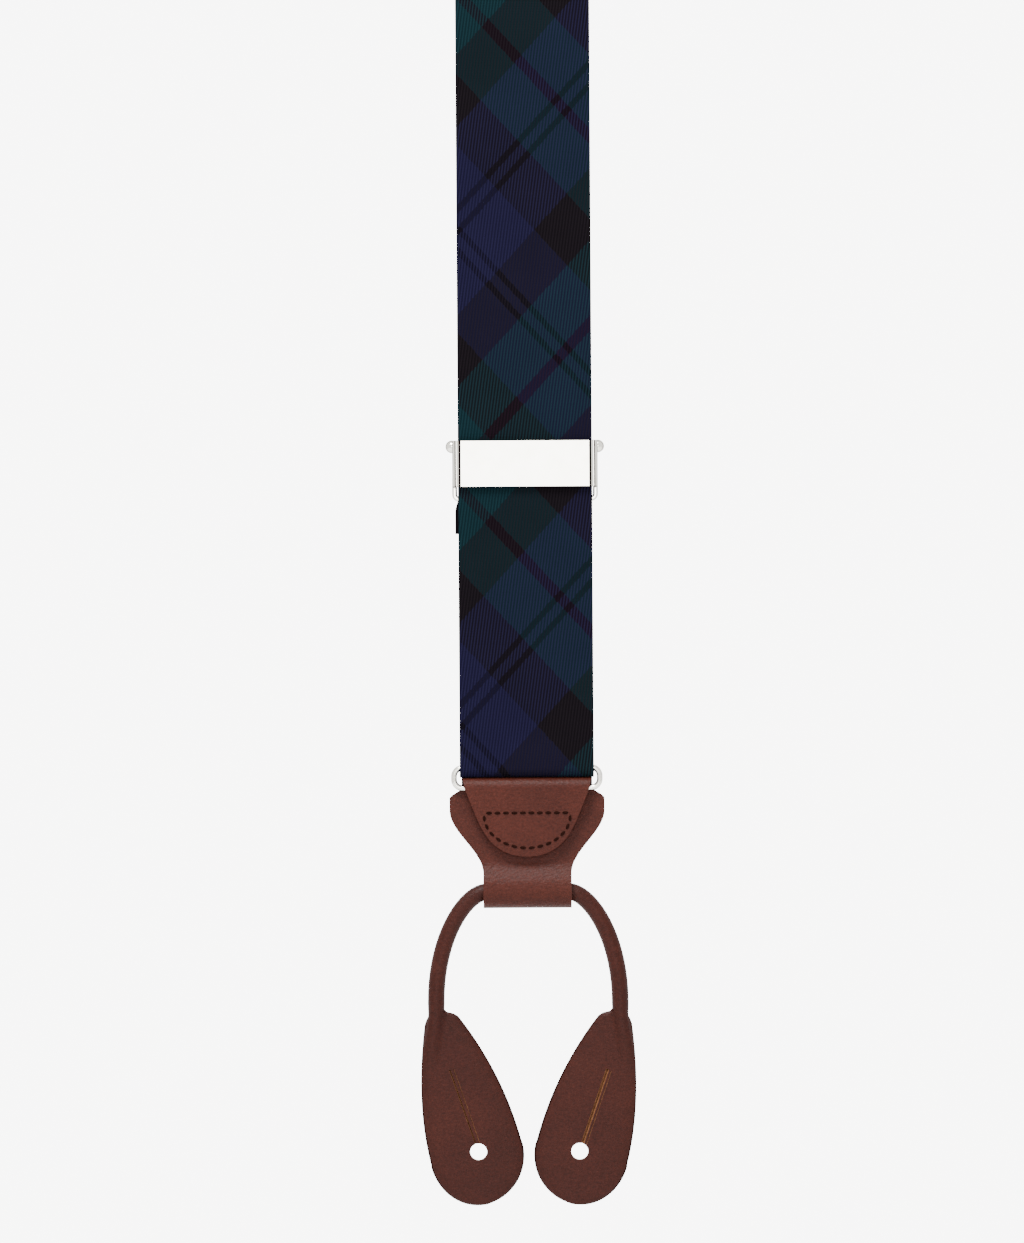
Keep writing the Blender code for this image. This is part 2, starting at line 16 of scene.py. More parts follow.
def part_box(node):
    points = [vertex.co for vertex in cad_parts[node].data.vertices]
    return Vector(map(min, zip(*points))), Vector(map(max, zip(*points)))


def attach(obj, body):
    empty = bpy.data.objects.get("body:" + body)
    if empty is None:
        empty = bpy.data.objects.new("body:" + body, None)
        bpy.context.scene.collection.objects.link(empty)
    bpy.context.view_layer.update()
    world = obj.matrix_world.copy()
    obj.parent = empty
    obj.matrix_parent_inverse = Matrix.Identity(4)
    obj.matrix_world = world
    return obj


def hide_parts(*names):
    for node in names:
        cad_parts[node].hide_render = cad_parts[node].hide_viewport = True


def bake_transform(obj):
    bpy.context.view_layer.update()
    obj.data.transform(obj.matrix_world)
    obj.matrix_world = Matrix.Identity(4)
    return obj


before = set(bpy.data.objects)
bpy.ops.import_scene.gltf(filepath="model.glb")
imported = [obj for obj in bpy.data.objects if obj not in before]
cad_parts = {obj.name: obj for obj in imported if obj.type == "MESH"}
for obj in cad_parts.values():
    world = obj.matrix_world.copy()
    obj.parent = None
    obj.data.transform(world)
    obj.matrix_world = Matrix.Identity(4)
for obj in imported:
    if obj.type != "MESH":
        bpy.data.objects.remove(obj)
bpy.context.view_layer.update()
print("frame loaded:", len(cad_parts), "nodes")

# %% [markdown]
# ## Sizes
# One millimetre is `MM`. Each leather end is drawn in its own small frame, whose zero is the middle of
# its ring: x across, y behind, z up. The three ends differ only in where they hang and which way they face.

# %% Sizes shared by the pieces
MM = 0.001
RIBBON_WIDTH = 38.0 * MM
RIBBON_THICK = 1.4 * MM
LEATHER_THICK = 1.9 * MM
SHOULDER_RADIUS = 26.0 * MM
SHOULDER_SLOPE = math.radians(15.0)
WIRE = 0.8 * MM
RUN = 2.05 * MM
FOLD = 2.1 * MM
TUNNEL = Vector((0.0, 0.8 * MM, -32.4 * MM))
ROLL = 2.4 * MM
HINGE = Vector((26.1 * MM, 0.8 * MM, -66.2 * MM))
TAB_LEAN = math.radians(14.5)
RING_ABOVE_TABS = 121.7 * MM


def middle_of(node):
    """The middle of a CAD node's box."""
    low, high = (Vector(corner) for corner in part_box(node))
    return (low + high) / 2


def size_of(node):
    low, high = (Vector(corner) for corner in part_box(node))
    return high - low


BAR = size_of("left_ring").z / 2 - WIRE
ENDS = {
    "left": (middle_of("left_ring"), 0.0),
    "right": (middle_of("right_ring"), 0.0),
    "back": (middle_of("back_ring"), math.pi),
}
SIDES = {"left": 1, "right": -1}
HALF_SPACING = ENDS["left"][0].x
for label, (place, turn) in ENDS.items():
    print(label, "ring at", [round(value / MM, 1) for value in place], "mm")


def in_world(label, point):
    """A point of an end's own frame, in the row frame."""
    place, turn = ENDS[label]
    return place + Matrix.Rotation(turn, 3, "Z") @ Vector(point)


# %% [markdown]
# ## Materials
# Every surface is procedural. `Graph` is only a short way of wiring nodes. Cloth reads a UV map in
# metres and leather its object coordinates, also in metres, so that a thread or a pore has its real size
# on every piece.


# %% A short way to wire nodes
def linear(red, green, blue):
    """An everyday 0-255 colour as the linear values a shader takes."""
    values = []
    for channel in (red, green, blue):
        part = channel / 255
        values.append(part / 12.92 if part <= 0.04045 else ((part + 0.055) / 1.055) ** 2.4)
    return (*values, 1.0)


class Graph:
    def __init__(self, name):
        self.material = bpy.data.materials.new(name)
        self.material.use_nodes = True
        self.tree = self.material.node_tree
        self.shader = self.tree.nodes["Principled BSDF"]

    def node(self, kind, inputs=None, **settings):
        made = self.tree.nodes.new(kind)
        for key, value in settings.items():
            setattr(made, key, value)
        for key, value in (inputs or {}).items():
            self.set(made.inputs[key], value)
        return made

    def set(self, socket, value):
        if isinstance(value, bpy.types.NodeSocket):
            self.tree.links.new(value, socket)
        else:
            socket.default_value = value

    def math(self, operation, first, second=0.0, third=0.0):
        made = self.node("ShaderNodeMath", operation=operation)
        for socket, value in zip(made.inputs, (first, second, third)):
            self.set(socket, value)
        return made.outputs[0]

    def uv(self, name="cloth"):
        made = self.node("ShaderNodeUVMap", uv_map=name)
        apart = self.node("ShaderNodeSeparateXYZ", {0: made.outputs[0]})
        return made.outputs[0], apart.outputs[0], apart.outputs[1]

    def place(self):
        return self.node("ShaderNodeTexCoord").outputs["Object"]

    def noise(self, where, scale, detail=3.0, roughness=0.55):
        inputs = {"Vector": where, "Scale": scale, "Detail": detail, "Roughness": roughness}
        return self.node("ShaderNodeTexNoise", inputs).outputs[0]

    def ramp(self, factor, stops, interpolation="LINEAR"):
        made = self.node("ShaderNodeValToRGB", {0: factor})
        made.color_ramp.interpolation = interpolation
        entries = made.color_ramp.elements
        while len(entries) < len(stops):
            entries.new(0.5)
        for entry, (position, colour) in zip(entries, stops):
            entry.position = position
            entry.color = colour
        return made.outputs[0]

    def mix(self, factor, first, second, blend="MIX"):
        made = self.node("ShaderNodeMix", data_type="RGBA", blend_type=blend)
        self.set(made.inputs[0], factor)
        self.set(made.inputs[6], first)
        self.set(made.inputs[7], second)
        return made.outputs[2]

    def bump(self, height, distance, strength=1.0, under=None):
        made = self.node("ShaderNodeBump", {"Height": height, "Distance": distance, "Strength": strength})
        if under is not None:
            self.set(made.inputs["Normal"], under)
        return made.outputs[0]

    def finish(self, **inputs):
        for key, value in inputs.items():
            self.set(self.shader.inputs[key.replace("_", " ")], value)
        return self.material


# %% [markdown]
# ### Tartan silk
# A tartan is one list of stripes, the sett, used for both threads and mirrored at its two centre lines.
# The cloth is cut on the bias, so both families of stripes cross the ribbon at about 48 degrees. Where
# two stripes cross, half the threads seen are of each: the colours average. The twill shows as fine,
# nearly upright lines, because its ribs run halfway between the two thread directions.

# %% Tartan silk
BIAS = math.radians(47.7)
HALF_SETT = 47.25 * MM
GREEN = linear(8, 23, 27)
NAVY = linear(15, 13, 31)
BLACK = linear(11, 8, 11)
PLUM = linear(13, 5, 11)
TRAM = linear(7, 5, 11)
SETT = [(0.0, PLUM), (0.028, GREEN), (0.332, BLACK), (0.621, NAVY), (0.934, TRAM), (0.970, NAVY)]
SETT_START = {"down_right": 323.9 * MM, "down_left": 229.9 * MM}
RIB_LEAN = math.radians(-8.0)
RIB_PITCH = 0.84 * MM
THREAD_PITCH = 0.62 * MM


def tartan(name):
    graph = Graph(name)
    where, across, along = graph.uv()
    wander = graph.noise(where, 900.0, 2.0)
    blur = graph.math("MULTIPLY", graph.math("SUBTRACT", wander, 0.5), 0.9 * MM)
    stripes = []
    for key, sign in (("down_right", 1.0), ("down_left", -1.0)):
        sideways = graph.math("MULTIPLY", across, sign * math.sin(BIAS))
        upward = graph.math("SUBTRACT", along, SETT_START[key])
        distance = graph.math("MULTIPLY_ADD", upward, math.cos(BIAS), sideways)
        folded = graph.math("PINGPONG", graph.math("ADD", distance, blur), HALF_SETT)
        stripes.append((distance, graph.ramp(graph.math("DIVIDE", folded, HALF_SETT), SETT, "CONSTANT")))
    (first_way, first), (second_way, second) = stripes
    climb = graph.math("MULTIPLY", along, math.sin(RIB_LEAN))
    rib_way = graph.math("MULTIPLY_ADD", across, math.cos(RIB_LEAN), climb)
    ribs = graph.math("SINE", graph.math("MULTIPLY", rib_way, 2 * math.pi / RIB_PITCH))
    share = graph.math("MULTIPLY_ADD", ribs, 0.32, 0.5)
    colour = graph.mix(share, first, second)
    threads = []
    for way in (first_way, second_way):
        threads.append(graph.math("SINE", graph.math("MULTIPLY", way, 2 * math.pi / THREAD_PITCH)))
    weave = graph.math("MULTIPLY", threads[0], threads[1])
    # Painted shade: the ribs and thread crossings that make the bump also lighten and darken the colour.
    # The mix of the two stripe colours by the ribs is the weave's own colour.
    shade = graph.math("MULTIPLY_ADD", weave, 0.12, graph.math("MULTIPLY_ADD", ribs, 0.34, 1.0))
    patchy = graph.noise(where, 60.0, 4.0)
    shade = graph.math("MULTIPLY", shade, graph.math("MULTIPLY_ADD", patchy, 0.30, 0.85))
    grey = graph.node("ShaderNodeCombineColor", {0: shade, 1: shade, 2: shade}).outputs[0]
    colour = graph.mix(1.0, colour, grey, "MULTIPLY")
    relief = graph.math("MULTIPLY_ADD", weave, 0.35, graph.math("MULTIPLY", ribs, 0.65))
    normal = graph.bump(relief, 0.05 * MM, 0.7)
    graph.set(graph.shader.inputs["Sheen Roughness"], 0.35)
    return graph.finish(
        Base_Color=colour, Roughness=0.55, Normal=normal, Specular_IOR_Level=0.01, Sheen_Weight=0.01
    )


# %% [markdown]
# ### Leather, thread, elastic and silver
# The leather is a red brown with fine creases, drawn darker in their valleys and lighter on their ridges
# as painted shade. Its cut edges are painted darker, and the raw walls of the buttonhole stay tan. The
# silver mirrors a pale room, and painted shade darkens it towards its rims.


# %% Leather, thread, elastic and silver
CREASE_SCALE = (760.0, 760.0, 1500.0)
BRUSH_SCALE = (60.0, 4000.0, 4000.0)


def leather(name, light=1.0):
    graph = Graph(name)
    where = graph.place()
    cloudy = graph.noise(where, 45.0, 5.0)
    fine = graph.noise(where, 1500.0, 3.0, 0.6)
    pores = graph.node("ShaderNodeTexVoronoi", {"Vector": where, "Scale": 1700.0}).outputs[0]
    dark = tuple(value * light for value in linear(46, 17, 11)[:3])
    pale = tuple(value * light for value in linear(56, 23, 16)[:3])
    colour = graph.ramp(cloudy, [(0.34, (*dark, 1.0)), (0.70, (*pale, 1.0))])
    speck = graph.math("MULTIPLY_ADD", fine, 1.2, 0.40)
    drawn = graph.node("ShaderNodeMapping", {"Vector": where, "Scale": CREASE_SCALE}).outputs[0]
    wrinkles = graph.noise(drawn, 1.0, 4.0, 0.6)
    # Painted shade: the wrinkles that make the bump also darken the colour in their valleys and lighten it
    # on their ridges.
    crease_shade = graph.math("MULTIPLY_ADD", wrinkles, 0.7, 0.65)
    speck = graph.math("MULTIPLY", speck, crease_shade)
    grey = graph.node("ShaderNodeCombineColor", {0: speck, 1: speck, 2: speck}).outputs[0]
    colour = graph.mix(1.0, colour, grey, "MULTIPLY")
    gloss = graph.math("MULTIPLY_ADD", cloudy, 0.20, 0.34)
    normal = graph.bump(pores, 0.05 * MM, 0.8)
    normal = graph.bump(wrinkles, 0.22 * MM, 0.9, normal)
    return graph.finish(Base_Color=colour, Roughness=gloss, Normal=normal, Specular_IOR_Level=0.09)


def painted_edge(name):
    graph = Graph(name)
    where = graph.place()
    paints = [(0.3, linear(17, 8, 7)), (0.8, linear(34, 16, 13))]
    colour = graph.ramp(graph.noise(where, 700.0, 3.0), paints)
    normal = graph.bump(graph.noise(where, 900.0, 4.0), 0.05 * MM, 0.25)
    return graph.finish(Base_Color=colour, Roughness=0.6, Normal=normal, Specular_IOR_Level=0.0)


def raw_edge(name):
    graph = Graph(name)
    where = graph.place()
    tans = [(0.3, linear(70, 42, 26)), (0.75, linear(112, 76, 50))]
    colour = graph.ramp(graph.noise(where, 900.0, 4.0), tans)
    normal = graph.bump(graph.noise(where, 1500.0, 4.0), 0.10 * MM, 0.8)
    return graph.finish(Base_Color=colour, Roughness=0.85, Normal=normal, Specular_IOR_Level=0.05)


def thread(name, colour=(30, 14, 11), relief=0.5):
    graph = Graph(name)
    where = graph.place()
    twist = graph.noise(where, 2600.0, 2.0)
    dark = linear(*(value * 0.6 for value in colour))
    shade = graph.ramp(twist, [(0.3, dark), (0.7, linear(*colour))])
    return graph.finish(
        Base_Color=shade, Roughness=0.6, Normal=graph.bump(twist, 0.05 * MM, relief), Specular_IOR_Level=0.0
    )


def elastic(name):
    graph = Graph(name)
    where, across, along = graph.uv()
    ribs = graph.math("SINE", graph.math("MULTIPLY", across, 2 * math.pi / (1.1 * MM)))
    picks = graph.math("SINE", graph.math("MULTIPLY", along, 2 * math.pi / (0.8 * MM)))
    relief = graph.math("MULTIPLY_ADD", picks, 0.3, graph.math("MULTIPLY", ribs, 0.7))
    # Painted shade: the rib relief that makes the bump also darkens the colour in its valleys, on top of a
    # random tone.
    level = graph.math("MULTIPLY_ADD", relief, 0.35, graph.noise(where, 120.0, 3.0))
    colour = graph.ramp(level, [(0.2, linear(9, 9, 14)), (0.9, linear(22, 23, 32))])
    return graph.finish(
        Base_Color=colour, Roughness=0.7, Normal=graph.bump(relief, 0.18 * MM, 0.8), Specular_IOR_Level=0.05
    )


def silver(name, roughness=0.10):
    graph = Graph(name)
    where = graph.place()
    rubbed = graph.noise(where, 260.0, 5.0)
    colour = graph.ramp(rubbed, [(0.3, linear(232, 228, 216)), (0.8, linear(250, 247, 238))])
    stretch = graph.node("ShaderNodeMapping", {"Vector": where, "Scale": BRUSH_SCALE}).outputs[0]
    brushed = graph.noise(stretch, 1.0, 2.0)
    gloss = graph.math("MULTIPLY_ADD", rubbed, 0.08, roughness)
    facing = graph.node("ShaderNodeLayerWeight", {"Blend": 0.5}).outputs["Facing"]
    # Painted shade: the colour darkens towards the rims, standing in for the darker surroundings a polished
    # piece mirrors there.
    painted_rim_shade = graph.ramp(facing, [(0.35, linear(255, 255, 255)), (0.75, linear(84, 78, 72))])
    colour = graph.mix(1.0, colour, painted_rim_shade, "MULTIPLY")
    return graph.finish(
        Base_Color=colour, Metallic=1.0, Roughness=gloss, Normal=graph.bump(brushed, 0.004 * MM, 0.5)
    )


MATERIALS = {
    "tartan": tartan("tartan silk"),
    "leather": leather("brown leather"),
    # Painted shade: the runners take the same leather at 0.68 of its colour, for the tabs and roll that
    # hang lower, farther from the light above.
    "runner": leather("runner leather in painted shade", 0.68),
    "edge": painted_edge("painted leather edge"),
    "raw": raw_edge("raw leather edge"),
    "lining": leather("leather lining", 1.9),
    "thread": thread("brown thread"),
    "dark_thread": thread("dark thread", (14, 12, 20)),
    "elastic": elastic("ribbed elastic"),
    "silver": silver("polished silver"),
    # Painted shade: a dark material for bands on the slide plates and for their bevels and rims, where a
    # polished plate shows shade and dark reflections.
    "painted_shade": thread("painted shade lines", (24, 18, 16), 0.0),
    "selvedge": thread("selvedge thread", (12, 12, 20), 0.0),
}
print("materials:", ", ".join(MATERIALS))

# %% [markdown]
# ## How the pieces are made
# A strip of ribbon or leather is a flat grid whose points are laid along a path, then given thickness.
# Wires are tubes along a line. Stitches are small capsules laid along a seam.


# %% Makers
def show(name, mesh, kinds):
    """Link a mesh as one piece, with its materials."""
    thing = bpy.data.objects.new(name, mesh)
    bpy.context.scene.collection.objects.link(thing)
    for kind in kinds:
        mesh.materials.append(MATERIALS[kind])
    return thing


def from_bmesh(name, net, kinds, sharp=40.0):
    mesh = bpy.data.meshes.new(name)
    net.to_mesh(mesh)
    net.free()
    mesh.shade_smooth()
    mesh.set_sharp_from_angle(angle=math.radians(sharp))
    return show(name, mesh, kinds)


def strip(name, rows, columns, place, kinds, thickness, soft):
    """A strip laid by place(row, across), which gives a point and its UV in metres, then thickened."""
    net = bmesh.new()
    bmesh.ops.create_grid(net, x_segments=rows, y_segments=columns, size=1.0)
    layer = net.loops.layers.uv.new("cloth")
    flat = {}
    for point in net.verts:
        position, uv = place(round((point.co.x + 1) / 2 * rows), point.co.y)
        point.co = position
        flat[point] = uv
    for face in net.faces:
        for loop in face.loops:
            loop[layer].uv = flat[loop.vert]
    thing = from_bmesh(name, net, kinds, 60.0)
    skin = thing.modifiers.new("thickness", "SOLIDIFY")
    skin.thickness = thickness
    skin.offset = 0.0
    skin.use_even_offset = True
    skin.material_offset_rim = len(kinds) - 1
    edge = thing.modifiers.new("soft edges", "BEVEL")
    edge.width = soft
    edge.segments = 3
    edge.limit_method = "ANGLE"
    edge.angle_limit = math.radians(50)
    edge.material = len(kinds) - 1
    edge.harden_normals = True
    return thing


def tube(name, points, radius, kinds, closed=False):
    """A round wire along a line of points."""
    curve = bpy.data.curves.new(name, "CURVE")
    curve.dimensions = "3D"
    curve.bevel_depth = radius
    curve.bevel_resolution = 6
    curve.use_fill_caps = not closed
    spline = curve.splines.new("POLY")
    spline.points.add(len(points) - 1)
    for entry, point in zip(spline.points, points):
        entry.co = (*point, 1.0)
    spline.use_cyclic_u = closed
    holder = bpy.data.objects.new(name, curve)
    bpy.context.scene.collection.objects.link(holder)
    bpy.context.view_layer.update()
    mesh = bpy.data.meshes.new_from_object(holder.evaluated_get(bpy.context.evaluated_depsgraph_get()))
    bpy.data.objects.remove(holder, do_unlink=True)
    net = bmesh.new()
    net.from_mesh(mesh)
    bmesh.ops.remove_doubles(net, verts=net.verts, dist=0.001 * MM)
    mesh.materials.clear()
    return from_bmesh(name, net, kinds)


def stitches(name, seam, pitch, length, radius, normal, kind="thread"):
    """Capsule stitches along a seam of points, evenly spaced, lying on the surface."""
    legs = [(seam[i], seam[i + 1]) for i in range(len(seam) - 1)]
    total = sum((b - a).length for a, b in legs)
    count = max(round(total / pitch), 1)
    net = bmesh.new()
    for number in range(count):
        target = (number + 0.5) * total / count
        walked = 0.0
        for a, b in legs:
            span = (b - a).length
            if walked + span >= target:
                break
            walked += span
        at = a.lerp(b, (target - walked) / span)
        along = (b - a).normalized()
        side = Vector(normal).cross(along).normalized()
        turn = Matrix((along, side, Vector(normal))).transposed().to_4x4()
        shape = Matrix.Diagonal((length / 2, radius, radius * 0.8, 1.0))
        bmesh.ops.create_uvsphere(
            net, u_segments=10, v_segments=8, radius=1.0, matrix=Matrix.Translation(at) @ turn @ shape
        )
    return from_bmesh(name, net, [kind], 180.0)


def arc(centre, radius, first, last, steps):
    """(y, z) points on an arc, angles in degrees from +y towards +z."""
    points = []
    for step in range(steps + 1):
        angle = math.radians(first + (last - first) * step / steps)
        points.append((centre[0] + radius * math.cos(angle), centre[1] + radius * math.sin(angle)))
    return points


def line(first, last, steps):
    """(y, z) points from the first towards the last, which is left out."""
    return [tuple(a + (b - a) * step / steps for a, b in zip(first, last)) for step in range(steps)]


def lengths(path):
    """How far along a path each of its points lies."""
    walked = [0.0]
    for a, b in zip(path, path[1:]):
        walked.append(walked[-1] + math.dist(a, b))
    return walked


def ease(value):
    """0 to 1 with soft ends."""
    value = min(max(value, 0.0), 1.0)
    return value * value * (3 - 2 * value)


# %% [markdown]
# ## Ribbon straps
# Each strap is one ribbon: from the back shield up over the shoulder, down the chest, behind the slide,
# around the ring's top bar and back up to the slide's bail, where its end is sewn. Over the shoulder it
# wraps a tilted cylinder, which is how a flat ribbon turns inward at the back without creasing. The
# sewn return is a piece of its own; on the real strap it lengthens as the slide moves.


# %% The two ribbons
SHORT_OF_MEETING = 9 * MM
TURN_MARGIN = 9 * MM
SELVEDGE = 0.14 * MM


def strap_point(side, distance, width):
    """A point of the ribbon's middle, distance from the front of the shoulder towards the back."""
    slope = SHOULDER_SLOPE
    along = Vector((side * math.cos(slope), 0.0, -math.sin(slope)))
    across = Vector((side * math.sin(slope), 0.0, math.cos(slope)))
    half_way = math.pi * SHOULDER_RADIUS
    crest = half_way / 2 * math.tan(slope) * math.sin(slope)
    centre = Vector((side * HALF_SPACING, 0.0, -crest - (SHOULDER_RADIUS - 0.6 * MM) * math.cos(slope)))
    unrolled = distance * math.cos(slope) + width * math.sin(slope)
    base = centre + along * (width * math.cos(slope) - distance * math.sin(slope))
    if unrolled < 0.0:
        return base + across * unrolled + Vector((0.0, -SHOULDER_RADIUS, 0.0))
    if unrolled > half_way:
        return base - across * (unrolled - half_way) + Vector((0.0, SHOULDER_RADIUS, 0.0))
    angle = unrolled / SHOULDER_RADIUS
    return base + (across * math.sin(angle) + Vector((0.0, -math.cos(angle), 0.0))) * SHOULDER_RADIUS


def back_end():
    """How far down the back a ribbon runs, so that its end is hidden in the shield."""
    lean = 2 * SHOULDER_SLOPE
    stop = RIBBON_WIDTH / 2 * math.cos(lean) + 0.8 * MM
    meeting = (HALF_SPACING + math.pi * SHOULDER_RADIUS * math.sin(SHOULDER_SLOPE) - stop) / math.sin(lean)
    return meeting - SHORT_OF_MEETING


def ring_loop(steps=16):
    """(y, z) points around under the ring's top bar, from front to back."""
    return arc((0.0, BAR), RUN, 180, 360, steps)


SHOULDER_HEIGHT = strap_point(1, 0.0, 0.0).z
RING_HEIGHT = ENDS["left"][0].z
LOW = RING_HEIGHT + BAR - SHOULDER_HEIGHT
for label, side in SIDES.items():
    wrap = math.pi * SHOULDER_RADIUS / math.cos(SHOULDER_SLOPE)
    above = wrap + TURN_MARGIN
    rows = [back_end() + (above - back_end()) * step / 60 for step in range(60)]
    rows += [above - (above + TURN_MARGIN) * step / 60 for step in range(60)]
    rows += [-TURN_MARGIN + (LOW + TURN_MARGIN) * step / 110 for step in range(110)]
    loop = ring_loop()
    turns = lengths(loop)
    last = len(rows) + len(loop) - 1

    def place(row, across, side=side, label=label, rows=rows, loop=loop, turns=turns):
        width = side * across * RIBBON_WIDTH / 2
        if row < len(rows):
            height = rows[row] - LOW + BAR + RING_ABOVE_TABS
            return strap_point(side, rows[row], width), (side * width, height)
        turn = row - len(rows)
        y, z = loop[turn]
        height = BAR + RING_ABOVE_TABS - turns[turn]
        return in_world(label, (side * width, y, z)), (side * width, height)

    silk = ["tartan", "selvedge"]
    cloth = strip(f"{label}_ribbon_silk", last, 24, place, silk, RIBBON_THICK, SELVEDGE)
    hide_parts(f"{label}_ribbon", f"{label}_ribbon_run")
    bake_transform(cloth)

# %% The sewn returns
SLIDE_MIDDLE = 89.0 * MM
BAIL_TURN = 1.6 * MM
BAIL = (RUN + BAIL_TURN, SLIDE_MIDDLE - 9.8 * MM)
UP_ROWS = 40
TURN_ROWS = 16
ASKEW = 0.9 * MM
for label, side in SIDES.items():
    path = line((RUN, BAR), (RUN, BAIL[1]), UP_ROWS)
    path += arc(BAIL, BAIL_TURN, 180, 0, TURN_ROWS)
    sewn = BAIL[0] + BAIL_TURN
    path += line((sewn, BAIL[1] - 0.4 * MM), (sewn, BAIL[1] - 11 * MM), 10)
    walked = lengths(path)

    def place(row, across, label=label, path=path, walked=walked):
        y, z = path[row]
        start = RING_ABOVE_TABS + BAR - math.pi * RUN
        askew = ASKEW * ease((row - UP_ROWS - TURN_ROWS) / 4)
        x = across * RIBBON_WIDTH / 2 - askew
        return in_world(label, (x, y, z)), (x, start - walked[row])

    silk = ["tartan", "selvedge"]
    back_run = strip(f"{label}_return_silk", len(path) - 1, 24, place, silk, RIBBON_THICK, SELVEDGE)
    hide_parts(f"{label}_ribbon_return")
    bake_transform(back_run)
    seams = []
    for height in (-3.2 * MM, -8.6 * MM):
        ends = []
        for x in (-0.93, 0.93):
            ends.append(in_world(label, (x * RIBBON_WIDTH / 2, BAIL[0] + 2.2 * MM, BAIL[1] + height)))
        name = f"{label}_return_stitches_{len(seams)}"
        seam = stitches(name, ends, 2.2 * MM, 1.7 * MM, 0.22 * MM, (0, 1, 0), "dark_thread")
        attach(seam, f"{label}_slide")
        seams.append(seam)
    print(label, "return:", round(walked[-1] / MM), "mm")

# %% [markdown]
# ## Elastic back leg
# One short run of ribbed elastic joins the back shield to the back ring. It gives when the wearer bends.

# %% Elastic leg
SEAM_HEIGHT = BAR + 24 * MM
leg_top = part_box("elastic_leg")[1][2] - ENDS["back"][0].z
path = line((-RUN, leg_top), (-RUN, BAR), 40) + ring_loop()
path += line((RUN, BAR + 0.8 * MM), (RUN, BAR + 28 * MM), 12)
walked = lengths(path)


def place_elastic(row, across):
    y, z = path[row]
    return in_world("back", (across * RIBBON_WIDTH / 2, y, z)), (across * RIBBON_WIDTH / 2, walked[row])


leg = strip("elastic_leg_cloth", len(path) - 1, 16, place_elastic, ["elastic"], RIBBON_THICK, 0.3 * MM)
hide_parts("elastic_leg")
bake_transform(leg)
seam_ends = []
for x in (-0.9, 0.9):
    seam_ends.append(in_world("back", (x * RIBBON_WIDTH / 2, RUN + 0.6 * MM, SEAM_HEIGHT)))
leg_seam = stitches(
    "elastic_leg_stitches", seam_ends, 2.4 * MM, 1.8 * MM, 0.22 * MM, (0, -1, 0), "dark_thread"
)
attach(leg_seam, "back_strap_end")
print("elastic:", round(walked[-1] / MM), "mm")

# %% [markdown]
# ## Rings
# A ring is one length of wire bent to a flattened oval and closed, so a tube around the oval makes it.

# %% Rings
RING_HALF = size_of("left_ring").x / 2 - WIRE
CORNER = 2.4 * MM
for label in ENDS:
    points = []
    for across, up, first in ((1, 1, 0), (-1, 1, 90), (-1, -1, 180), (1, -1, 270)):
        for step in range(15):
            angle = math.radians(first + 90 * step / 14)
            x = across * (RING_HALF - CORNER) + CORNER * math.cos(angle)
            z = up * (BAR - CORNER) + CORNER * math.sin(angle)
            points.append(in_world(label, (x, 0.0, z)))
    wire = tube(f"{label}_ring_wire", points, WIRE, ["silver"], closed=True)
    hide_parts(f"{label}_ring")
    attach(wire, f"{label}_ring")
print("rings:", len(ENDS))

# %% [markdown]
# ## Leather hangers
# The hanger is one strip of leather with a shaped outline. Its flap folds forward over the ring's lower
# bar and is sewn down with a D of stitches. Behind the flap it widens to a shield, then narrows to a
# neck, which folds back under the roll as a tunnel. Laying one grid along the folded path keeps it one
# piece, with its thickness showing at every edge.

# %% Hanger strips
FLAP_ROWS = 40
FOLD_ROWS = 16
STEP_ROWS = 8
FLAP_LENGTH = 19.4 * MM
FOLD_HALF = 18.5 * MM
NECK_HALF = 12.5 * MM
TUNNEL_TURN = 3.65 * MM
SEAM_HALF = 12.2 * MM
SEAM_TOP = -9.9 * MM


def hanger_path():
    """(y, z) points of the strip's middle, from the flap's tip to the end tucked behind the neck."""
    tip_height = -BAR - FLAP_LENGTH
    behind = (0.2 * MM, tip_height - 1.0 * MM)
    points = []
    for row in range(FLAP_ROWS):
        rise = math.sin(math.pi / 2 * row / FLAP_ROWS) ** 1.6
        points.append((-FOLD, tip_height + FLAP_LENGTH * rise))
    points += arc((0.0, -BAR), FOLD, 180, 0, FOLD_ROWS)
    points += line((FOLD, -BAR - 0.6 * MM), behind, 26)
    forward = TUNNEL.y - TUNNEL_TURN - behind[0]
    drop = TUNNEL.z + 1.0 * MM - behind[1]
    for row in range(STEP_ROWS):
        part = row / STEP_ROWS
        points.append((behind[0] + forward * ease(part), behind[1] + drop * part))
    points += arc((TUNNEL.y, TUNNEL.z), TUNNEL_TURN, 180, 360, 20)
    tail = (behind[0] + 2.3 * MM, TUNNEL.z + 10.5 * MM)
    points += line((TUNNEL.y + TUNNEL_TURN, TUNNEL.z + 0.8 * MM), tail, 8) + [tail]
    return points


def hanger_half_width(row, height):
    """Half the strip's width: the flap's round end, then the shield, then the neck."""
    if row <= FLAP_ROWS:
        part = min(max((-BAR - height) / FLAP_LENGTH, 0.0), 1.0)
        return (FOLD_HALF - 0.8 * MM - 8.0 * MM * part) * math.sqrt(1 - part**6) + 0.3 * MM * part
    if row <= FLAP_ROWS + FOLD_ROWS:
        return FOLD_HALF - 0.8 * MM * max(1 - 2 * (row - FLAP_ROWS) / FOLD_ROWS, 0.0)
    drop = -BAR - height
    wide = FOLD_HALF + 3.5 * MM * ease(drop / (3.0 * MM))
    return wide + (NECK_HALF - wide) * ease((drop - 6.5 * MM) / (17.5 * MM))


